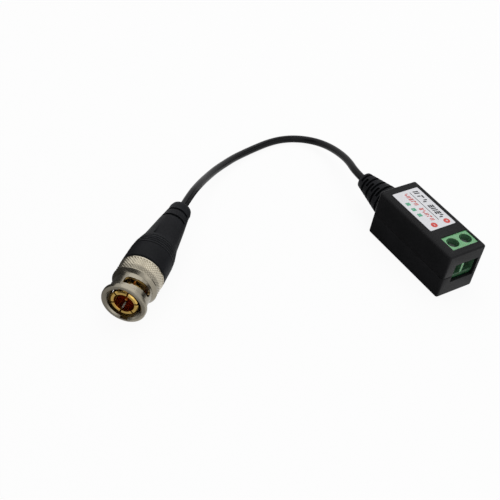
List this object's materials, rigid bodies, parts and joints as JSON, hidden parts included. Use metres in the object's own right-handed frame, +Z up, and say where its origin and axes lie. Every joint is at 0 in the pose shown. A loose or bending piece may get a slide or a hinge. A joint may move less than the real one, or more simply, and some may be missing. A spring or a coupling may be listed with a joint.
{
  "type": "cctv video balun",
  "caption": "Passive CCTV video balun: black box with green screw terminals and a polarity label, short coaxial cable with ribbed strain relief, and a bayonet plug in a rubber boot.",
  "frame": {"origin": "middle of the underside of the case", "axes": "+X out of the wire entries along the case, +Y towards the plus terminal's side, +Z up; the cable leaves towards -X"},
  "size_m": [0.0833, 0.1054, 0.0159],
  "materials": {
    "black_abs": "fine spark-eroded ABS",
    "label_vinyl": "printed silver-grey vinyl",
    "green_nylon": "moulded polyamide",
    "board_laminate": "solder-masked glass laminate",
    "ferrite": "sintered ferrite",
    "enamelled_copper": "enamelled wire",
    "chip_ceramic": "fired ceramic body",
    "tinned_copper": "tinned",
    "black_rubber": "matte moulded",
    "black_pvc": "satin extruded",
    "nickel_plate": "satin nickel on brass",
    "gold_plate": "gold plated",
    "white_ptfe": "turned PTFE",
    "brown_resin": "moulded amber-brown resin",
    "red_silicone": "moulded silicone",
    "spring_steel": "plain",
    "zinc_steel": "zinc plated",
    "tinned_brass": "tinned"
  },
  "bodies": {
    "balun": {"case_base": "black_abs", "case_top": "black_abs", "polarity_label": "label_vinyl", "terminal_housing": "green_nylon", "circuit_board": "board_laminate", "balun_core": "ferrite", "balun_winding": "enamelled_copper", "chip_capacitor": "chip_ceramic", "chip_resistor": "chip_ceramic", "cable_core_lead": "white_ptfe", "cable_braid_lead": "tinned_copper", "strain_relief": "black_rubber", "coax_cable": "black_pvc", "contact_fingers": "gold_plate", "plug_body": "nickel_plate", "sealing_gasket": "red_silicone", "plug_insulator": "brown_resin", "centre_pin": "gold_plate", "retaining_ring": "spring_steel", "crimp_ferrule": "nickel_plate", "cable_braid": "tinned_copper", "plug_boot": "black_rubber", "contact_pin_minus": "tinned_brass", "contact_pin_plus": "tinned_brass"},
    "sleeve_thrust": {"thrust_washer": "spring_steel", "wave_washer": "spring_steel"},
    "coupling": {"coupling_sleeve": "nickel_plate"},
    "screw_minus": {"terminal_screw_minus": "zinc_steel"},
    "screw_plus": {"terminal_screw_plus": "zinc_steel"},
    "clamp_minus": {"wire_clamp_minus": "tinned_brass"},
    "clamp_plus": {"wire_clamp_plus": "tinned_brass"}
  },
  "joints": [
    {"name": "sleeve_advance", "type": "slide", "parent": "balun", "child": "sleeve_thrust", "axis": [0.6188, -0.7835, -0.0576], "range_m": [0, 0.0006], "stiffness_N_per_m": 400},
    {"name": "sleeve_turn", "type": "hinge", "parent": "sleeve_thrust", "child": "coupling", "pos_m": [-0.01792, -0.08878, 0.00678], "axis": [0.6188, -0.7835, -0.0576], "continuous": true},
    {"name": "screw_minus_turn", "type": "hinge", "parent": "balun", "child": "screw_minus", "pos_m": [0.0109, -0.0015, 0.0129], "axis": [0, 0, -1], "range_deg": [0, 1441]},
    {"name": "clamp_minus_lift", "type": "slide", "parent": "balun", "child": "clamp_minus", "axis": [0, 0, 1], "range_m": [0, 0.0018]},
    {"name": "screw_plus_turn", "type": "hinge", "parent": "balun", "child": "screw_plus", "pos_m": [0.0109, 0.0035, 0.0129], "axis": [0, 0, -1], "range_deg": [0, 1441]},
    {"name": "clamp_plus_lift", "type": "slide", "parent": "balun", "child": "clamp_plus", "axis": [0, 0, 1], "range_m": [0, 0.0018]}
  ],
  "couplings": [
    {"joint": "screw_minus_turn", "follows": "clamp_minus_lift", "rad_per_m": 13963},
    {"joint": "screw_plus_turn", "follows": "clamp_plus_lift", "rad_per_m": 13963}
  ]
}
